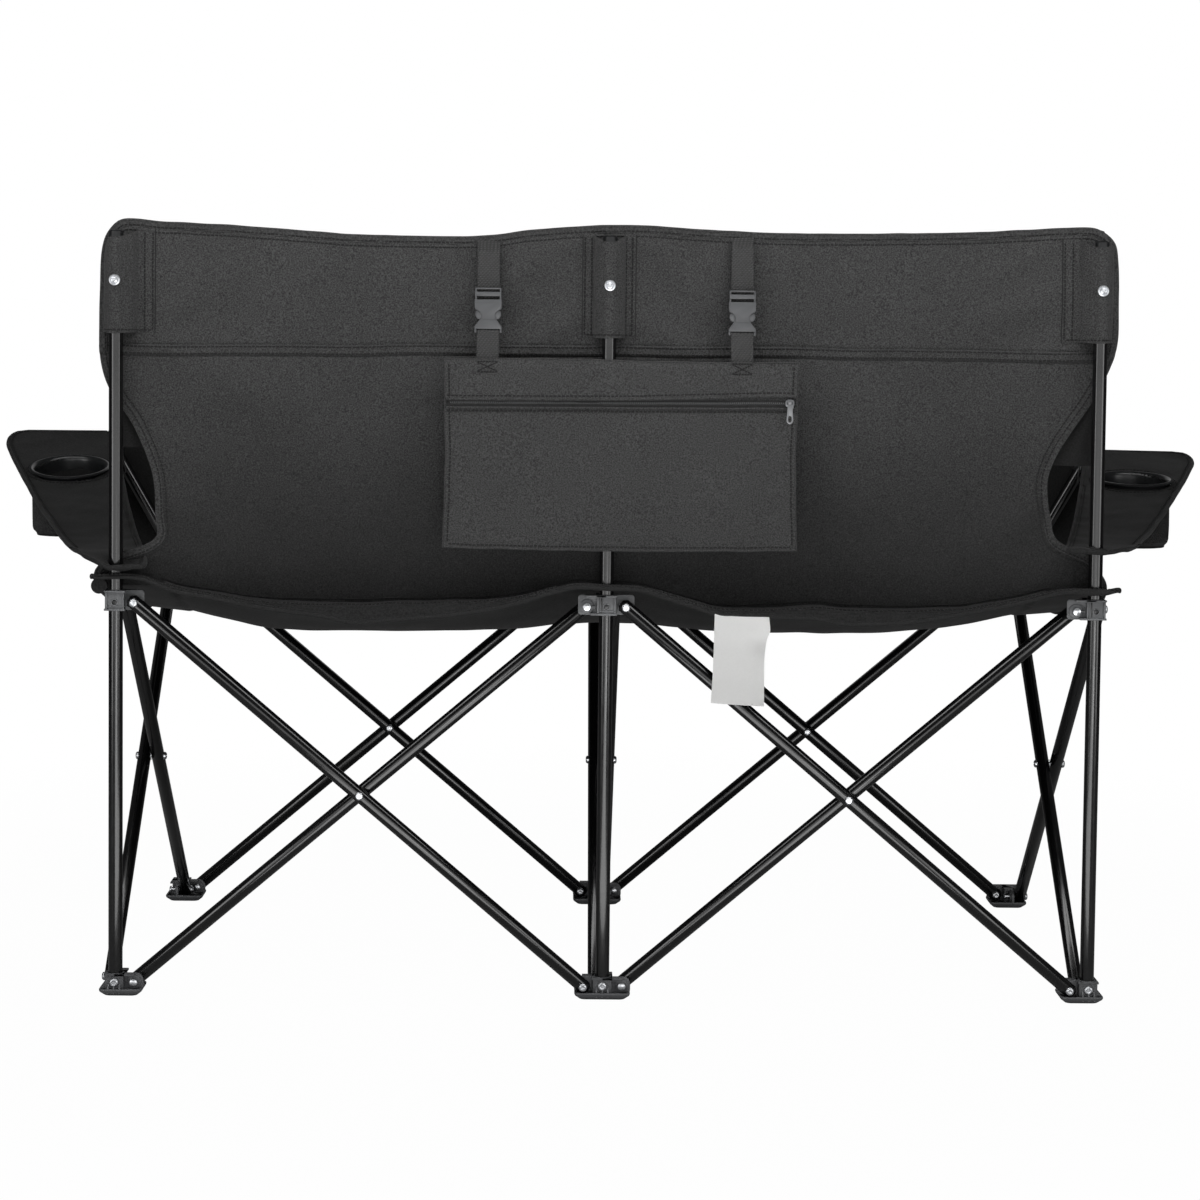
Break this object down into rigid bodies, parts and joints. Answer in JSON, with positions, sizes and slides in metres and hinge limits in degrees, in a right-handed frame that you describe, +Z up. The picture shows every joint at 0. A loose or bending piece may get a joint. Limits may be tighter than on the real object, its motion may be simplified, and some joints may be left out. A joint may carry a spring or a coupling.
{
  "type": "folding camping loveseat",
  "caption": "Two-seat folding camping chair: a fabric sling on a scissor frame of steel tubes, with arm rests, cup holders and a rear storage bag.",
  "frame": {"origin": "on the ground under the middle of the open chair", "axes": "+Z up, the sitter faces -Y, +X is the sitter's left"},
  "size_m": [1.552, 0.6, 0.88],
  "materials": {
    "steel": "semi-gloss black powder coat on steel tube",
    "moulding": "dark grey injection-moulded plastic, fine matt texture",
    "zinc": "bright zinc plate",
    "seat_cloth": "black coated polyester canvas",
    "back_cloth": "charcoal coated polyester canvas",
    "mesh": "black polyester mesh",
    "webbing": "black polypropylene webbing",
    "acetal": "black acetal, satin",
    "tag": "white woven label, blank"
  },
  "bodies": {
    "rear_centre_leg": {"rear_centre_post": "steel", "rear_centre_foot": "moulding", "back_panel": "back_cloth", "storage_bag": "back_cloth"},
    "rear_left_rising": {"rear_left_rising_strut": "steel", "rear_left_crossing_rivet": "zinc"},
    "rear_left_falling": {"rear_left_falling_strut": "steel"},
    "rear_left_hub": {"rear_left_hub": "moulding", "left_arm_panel": "seat_cloth"},
    "rear_left_leg": {"rear_left_foot": "moulding", "rear_left_post": "steel"},
    "rear_right_rising": {"rear_right_rising_strut": "steel", "rear_right_crossing_rivet": "zinc"},
    "rear_right_falling": {"rear_right_falling_strut": "steel"},
    "rear_right_hub": {"rear_right_hub": "moulding", "right_arm_panel": "seat_cloth"},
    "rear_right_leg": {"rear_right_foot": "moulding", "rear_right_post": "steel"},
    "rear_centre_hub": {"rear_centre_hub": "moulding", "care_tag": "tag"},
    "side_centre_rising": {"side_centre_rising_strut": "steel", "side_centre_crossing_rivet": "zinc"},
    "side_centre_falling": {"side_centre_falling_strut": "steel"},
    "front_centre_hub": {"front_centre_hub": "moulding"},
    "front_centre_foot": {"front_centre_foot": "moulding"},
    "side_left_rising": {"side_left_rising_strut": "steel", "side_left_crossing_rivet": "zinc"},
    "side_left_falling": {"side_left_falling_strut": "steel"},
    "front_left_hub": {"front_left_hub": "moulding", "left_arm_post": "steel", "left_cup_rim": "acetal", "left_cup_pocket": "mesh"},
    "front_left_foot": {"front_left_foot": "moulding"},
    "side_right_rising": {"side_right_rising_strut": "steel", "side_right_crossing_rivet": "zinc"},
    "side_right_falling": {"side_right_falling_strut": "steel"},
    "front_right_hub": {"front_right_hub": "moulding", "right_arm_post": "steel", "right_cup_rim": "acetal", "right_cup_pocket": "mesh"},
    "front_right_foot": {"front_right_foot": "moulding"},
    "front_left_rising": {"front_left_rising_strut": "steel", "front_left_crossing_rivet": "zinc"},
    "front_left_falling": {"front_left_falling_strut": "steel"},
    "front_right_rising": {"front_right_rising_strut": "steel", "front_right_crossing_rivet": "zinc"},
    "front_right_falling": {"front_right_falling_strut": "steel"},
    "seat_rear": {"seat_rear_panel": "seat_cloth"},
    "seat_front": {"seat_front_panel": "seat_cloth"},
    "left_strap": {"left_upper_strap": "webbing", "left_buckle_socket": "acetal"},
    "left_clip": {"left_buckle_clip": "acetal", "left_lower_strap": "webbing"},
    "right_strap": {"right_upper_strap": "webbing", "right_buckle_socket": "acetal"},
    "right_clip": {"right_buckle_clip": "acetal", "right_lower_strap": "webbing"},
    "zip_stop": {"zip_stop": "zinc"},
    "zip_slider": {"zip_slider": "zinc"},
    "zip_pull": {"zip_pull": "zinc"}
  },
  "joints": [
    {"name": "fold", "type": "hinge", "parent": "rear_centre_leg", "child": "rear_left_rising", "pos_m": [0.022, 0.277, 0.015], "axis": [0, -1, 0], "range_deg": [0, 44], "deforming": ["back_panel", "storage_bag"]},
    {"name": "cross_rear_left", "type": "hinge", "parent": "rear_left_rising", "child": "rear_left_falling", "pos_m": [0.277, 0.277, 0.2315], "axis": [0, -1, 0], "range_deg": [-88.01, 0]},
    {"name": "top_rear_left", "type": "hinge", "parent": "rear_left_rising", "child": "rear_left_hub", "pos_m": [0.532, 0.277, 0.448], "axis": [0, -1, 0], "range_deg": [-44.01, 0], "deforming": ["left_arm_panel"]},
    {"name": "bottom_rear_left", "type": "hinge", "parent": "rear_left_falling", "child": "rear_left_leg", "pos_m": [0.532, 0.277, 0.015], "axis": [0, -1, 0], "range_deg": [0, 44.01]},
    {"name": "fold_rear_right", "type": "hinge", "parent": "rear_centre_leg", "child": "rear_right_rising", "pos_m": [-0.022, 0.277, 0.015], "axis": [0, 1, 0], "range_deg": [0, 44.01]},
    {"name": "cross_rear_right", "type": "hinge", "parent": "rear_right_rising", "child": "rear_right_falling", "pos_m": [-0.277, 0.277, 0.2315], "axis": [0, 1, 0], "range_deg": [-88.01, 0]},
    {"name": "top_rear_right", "type": "hinge", "parent": "rear_right_rising", "child": "rear_right_hub", "pos_m": [-0.532, 0.277, 0.448], "axis": [0, 1, 0], "range_deg": [-44.01, 0], "deforming": ["right_arm_panel"]},
    {"name": "bottom_rear_right", "type": "hinge", "parent": "rear_right_falling", "child": "rear_right_leg", "pos_m": [-0.532, 0.277, 0.015], "axis": [0, 1, 0], "range_deg": [0, 44.01]},
    {"name": "top_rear_centre", "type": "hinge", "parent": "rear_left_falling", "child": "rear_centre_hub", "pos_m": [0.022, 0.277, 0.448], "axis": [0, -1, 0], "range_deg": [0, 44.01], "deforming": ["care_tag"]},
    {"name": "fold_side_centre", "type": "hinge", "parent": "rear_centre_leg", "child": "side_centre_rising", "pos_m": [0, 0.255, 0.015], "axis": [-1, 0, 0], "range_deg": [0, 44.01]},
    {"name": "cross_side_centre", "type": "hinge", "parent": "side_centre_rising", "child": "side_centre_falling", "pos_m": [0, 0, 0.2315], "axis": [-1, 0, 0], "range_deg": [-88.01, 0]},
    {"name": "top_front_centre", "type": "hinge", "parent": "side_centre_rising", "child": "front_centre_hub", "pos_m": [0, -0.255, 0.448], "axis": [-1, 0, 0], "range_deg": [-44.01, 0]},
    {"name": "bottom_front_centre", "type": "hinge", "parent": "side_centre_falling", "child": "front_centre_foot", "pos_m": [0, -0.255, 0.015], "axis": [-1, 0, 0], "range_deg": [0, 44.01]},
    {"name": "fold_side_left", "type": "hinge", "parent": "rear_left_leg", "child": "side_left_rising", "pos_m": [0.554, 0.255, 0.015], "axis": [-1, 0, 0], "range_deg": [0, 44.01]},
    {"name": "cross_side_left", "type": "hinge", "parent": "side_left_rising", "child": "side_left_falling", "pos_m": [0.554, 0, 0.2315], "axis": [-1, 0, 0], "range_deg": [-88.01, 0]},
    {"name": "top_front_left", "type": "hinge", "parent": "side_left_rising", "child": "front_left_hub", "pos_m": [0.554, -0.255, 0.448], "axis": [-1, 0, 0], "range_deg": [-44.01, 0]},
    {"name": "bottom_front_left", "type": "hinge", "parent": "side_left_falling", "child": "front_left_foot", "pos_m": [0.554, -0.255, 0.015], "axis": [-1, 0, 0], "range_deg": [0, 44.01]},
    {"name": "fold_side_right", "type": "hinge", "parent": "rear_right_leg", "child": "side_right_rising", "pos_m": [-0.554, 0.255, 0.015], "axis": [-1, 0, 0], "range_deg": [0, 44.01]},
    {"name": "cross_side_right", "type": "hinge", "parent": "side_right_rising", "child": "side_right_falling", "pos_m": [-0.554, 0, 0.2315], "axis": [-1, 0, 0], "range_deg": [-88.01, 0]},
    {"name": "top_front_right", "type": "hinge", "parent": "side_right_rising", "child": "front_right_hub", "pos_m": [-0.554, -0.255, 0.448], "axis": [-1, 0, 0], "range_deg": [-44.01, 0]},
    {"name": "bottom_front_right", "type": "hinge", "parent": "side_right_falling", "child": "front_right_foot", "pos_m": [-0.554, -0.255, 0.015], "axis": [-1, 0, 0], "range_deg": [0, 44.01]},
    {"name": "fold_front_left", "type": "hinge", "parent": "front_centre_foot", "child": "front_left_rising", "pos_m": [0.022, -0.277, 0.015], "axis": [0, -1, 0], "range_deg": [0, 44.01]},
    {"name": "cross_front_left", "type": "hinge", "parent": "front_left_rising", "child": "front_left_falling", "pos_m": [0.277, -0.277, 0.2315], "axis": [0, -1, 0], "range_deg": [-88.01, 0]},
    {"name": "fold_front_right", "type": "hinge", "parent": "front_centre_foot", "child": "front_right_rising", "pos_m": [-0.022, -0.277, 0.015], "axis": [0, 1, 0], "range_deg": [0, 44.01]},
    {"name": "cross_front_right", "type": "hinge", "parent": "front_right_rising", "child": "front_right_falling", "pos_m": [-0.277, -0.277, 0.2315], "axis": [0, 1, 0], "range_deg": [-88.01, 0]},
    {"name": "seat_rear_fold", "type": "hinge", "parent": "rear_centre_hub", "child": "seat_rear", "pos_m": [0, 0.277, 0.464], "axis": [1, 0, 0], "range_deg": [0, 64.35], "deforming": ["seat_rear_panel"]},
    {"name": "seat_middle_fold", "type": "hinge", "parent": "seat_rear", "child": "seat_front", "pos_m": [0, 0, 0.392], "axis": [1, 0, 0], "range_deg": [-128.69, 0], "deforming": ["seat_front_panel"]},
    {"name": "left_strap_shift", "type": "slide", "parent": "rear_centre_leg", "child": "left_strap", "axis": [1, 0, 0], "range_m": [-0.10939, 0]},
    {"name": "left_buckle_release", "type": "slide", "parent": "left_strap", "child": "left_clip", "axis": [0, 0, -1], "range_m": [0, 0.024], "deforming": ["left_lower_strap"]},
    {"name": "right_strap_shift", "type": "slide", "parent": "rear_centre_leg", "child": "right_strap", "axis": [1, 0, 0], "range_m": [0, 0.11981]},
    {"name": "right_buckle_release", "type": "slide", "parent": "right_strap", "child": "right_clip", "axis": [0, 0, -1], "range_m": [0, 0.024], "deforming": ["right_lower_strap"]},
    {"name": "zip_shift", "type": "slide", "parent": "rear_centre_leg", "child": "zip_stop", "axis": [1, 0, 0], "range_m": [0, 0.16588]},
    {"name": "zip_slide", "type": "slide", "parent": "zip_stop", "child": "zip_slider", "axis": [1, 0, 0], "range_m": [0, 0.37]},
    {"name": "zip_pull_swing", "type": "hinge", "parent": "zip_slider", "child": "zip_pull", "pos_m": [-0.2, 0.2969, 0.678], "axis": [1, 0, 0], "range_deg": [0, 160]}
  ],
  "couplings": [
    {"joint": "cross_rear_left", "follows": "fold", "ratio": -2},
    {"joint": "top_rear_left", "follows": "fold", "ratio": -1},
    {"joint": "bottom_rear_left", "follows": "fold", "ratio": 1},
    {"joint": "fold_rear_right", "follows": "fold", "ratio": 1},
    {"joint": "cross_rear_right", "follows": "fold", "ratio": -2},
    {"joint": "top_rear_right", "follows": "fold", "ratio": -1},
    {"joint": "bottom_rear_right", "follows": "fold", "ratio": 1},
    {"joint": "top_rear_centre", "follows": "fold", "ratio": 1},
    {"joint": "fold_side_centre", "follows": "fold", "ratio": 1},
    {"joint": "cross_side_centre", "follows": "fold", "ratio": -2},
    {"joint": "top_front_centre", "follows": "fold", "ratio": -1},
    {"joint": "bottom_front_centre", "follows": "fold", "ratio": 1},
    {"joint": "fold_side_left", "follows": "fold", "ratio": 1},
    {"joint": "cross_side_left", "follows": "fold", "ratio": -2},
    {"joint": "top_front_left", "follows": "fold", "ratio": -1},
    {"joint": "bottom_front_left", "follows": "fold", "ratio": 1},
    {"joint": "fold_side_right", "follows": "fold", "ratio": 1},
    {"joint": "cross_side_right", "follows": "fold", "ratio": -2},
    {"joint": "top_front_right", "follows": "fold", "ratio": -1},
    {"joint": "bottom_front_right", "follows": "fold", "ratio": 1},
    {"joint": "fold_front_left", "follows": "fold", "ratio": 1},
    {"joint": "cross_front_left", "follows": "fold", "ratio": -2},
    {"joint": "fold_front_right", "follows": "fold", "ratio": 1},
    {"joint": "cross_front_right", "follows": "fold", "ratio": -2},
    {"joint": "seat_rear_fold", "follows": "fold", "ratio": 1.4623},
    {"joint": "seat_middle_fold", "follows": "fold", "ratio": -2.9246},
    {"joint": "left_strap_shift", "follows": "fold", "m_per_rad": -0.14243},
    {"joint": "right_strap_shift", "follows": "fold", "m_per_rad": 0.156},
    {"joint": "zip_shift", "follows": "fold", "m_per_rad": 0.21599}
  ]
}
